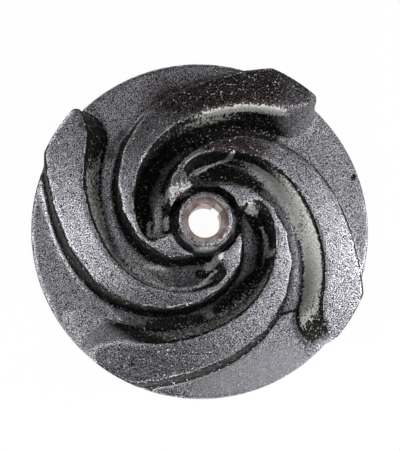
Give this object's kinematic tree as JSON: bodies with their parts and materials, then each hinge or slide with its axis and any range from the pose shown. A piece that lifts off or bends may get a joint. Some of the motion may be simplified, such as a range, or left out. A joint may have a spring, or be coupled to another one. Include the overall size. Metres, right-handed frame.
{
  "type": "pump impeller",
  "caption": "Semi-open centrifugal pump impeller: thick spiral vanes on a round back disc, with a raised hub, a counterbore and a keyed shaft bore.",
  "frame": {"origin": "on the shaft axis, at the plane of the disc's back land and the hub's back face", "axes": "+Z along the shaft axis from the back towards the suction side, so the vanes face +Z; +X and +Y are at right angles to it, with the keyway 47 degrees from +X towards +Y"},
  "size_m": [0.215, 0.215, 0.0505],
  "materials": {
    "casting": "sand-cast, dark and speckled, hub counterbore machined bright"
  },
  "bodies": {
    "root": {"impeller": "casting"}
  },
  "joints": []
}
